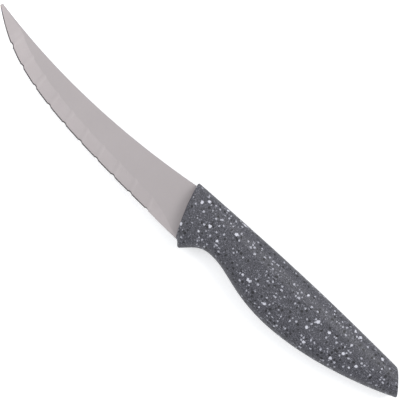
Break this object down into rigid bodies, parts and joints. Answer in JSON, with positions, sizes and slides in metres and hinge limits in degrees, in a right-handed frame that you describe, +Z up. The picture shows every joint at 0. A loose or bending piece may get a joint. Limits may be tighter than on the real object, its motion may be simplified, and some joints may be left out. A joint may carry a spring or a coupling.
{
  "type": "tomato knife",
  "caption": "Tomato knife with a curved serrated steel blade moulded into a speckled plastic handle with a finger guard.",
  "frame": {"origin": "centre of the outline, on the plane the handle's flat side rests on", "axes": "+X towards the butt, +Y towards the spine, +Z up through the thickness"},
  "size_m": [0.2555, 0.0304, 0.017],
  "materials": {
    "blade": "satin ground steel",
    "handle": "dark grey with pale and black flecks, satin"
  },
  "bodies": {
    "root": {"blade": "blade", "handle": "handle"}
  },
  "joints": []
}
